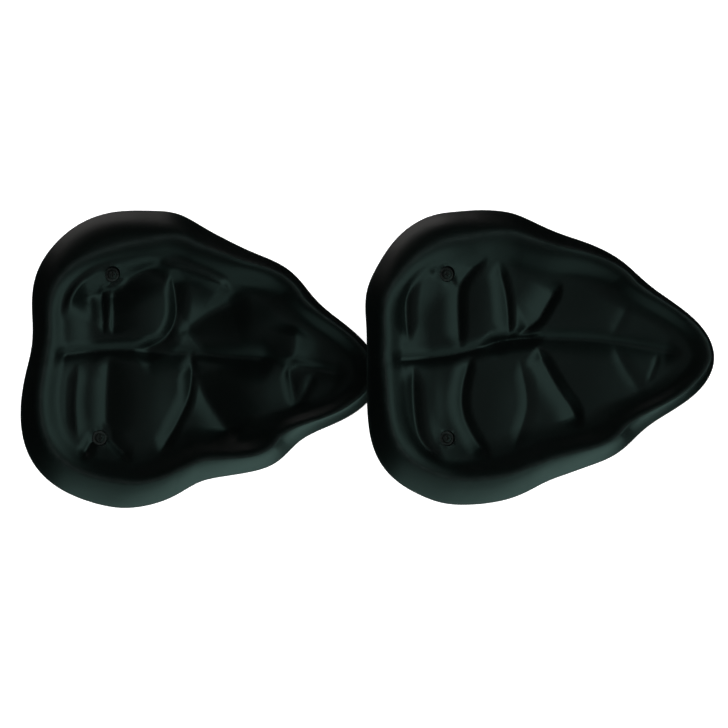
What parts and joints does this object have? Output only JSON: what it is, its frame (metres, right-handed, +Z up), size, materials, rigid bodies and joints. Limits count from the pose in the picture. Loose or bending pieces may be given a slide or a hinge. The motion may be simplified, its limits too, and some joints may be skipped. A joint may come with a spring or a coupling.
{
  "type": "leaf grabber hands",
  "caption": "pair of dark green leaf-shaped hand scoops with rolled lips, moulded veins and a grip behind each palm, for picking up fallen leaves",
  "frame": {"origin": "middle of the pair's bounding box, on the surface that both hands lie on", "axes": "+X along the pair from the left hand's stem to the right hand's tip, +Y across the leaves, +Z up out of the hollows"},
  "size_m": [0.6942, 0.297, 0.0825],
  "materials": {
    "leaf_plastic": "glossy, fine moulded grain",
    "grip_plastic": "fine spark-eroded grain",
    "black_screw_steel": "black phosphate, light oil",
    "washer_steel": "black oxide, rubbed at the rim"
  },
  "bodies": {
    "left_hand": {"left_leaf_shell": "leaf_plastic", "left_grip": "grip_plastic", "left_upper_grip_screw": "black_screw_steel", "left_upper_screw_washer": "washer_steel", "left_lower_grip_screw": "black_screw_steel", "left_lower_screw_washer": "washer_steel"},
    "right_hand": {"right_leaf_shell": "leaf_plastic", "right_grip": "grip_plastic", "right_upper_grip_screw": "black_screw_steel", "right_upper_screw_washer": "washer_steel", "right_lower_grip_screw": "black_screw_steel", "right_lower_screw_washer": "washer_steel"}
  },
  "joints": [
    {"name": "right_hand_lift", "type": "slide", "parent": "left_hand", "child": "right_hand", "axis": [0, 0, 1], "range_m": [0, 0.3]}
  ]
}
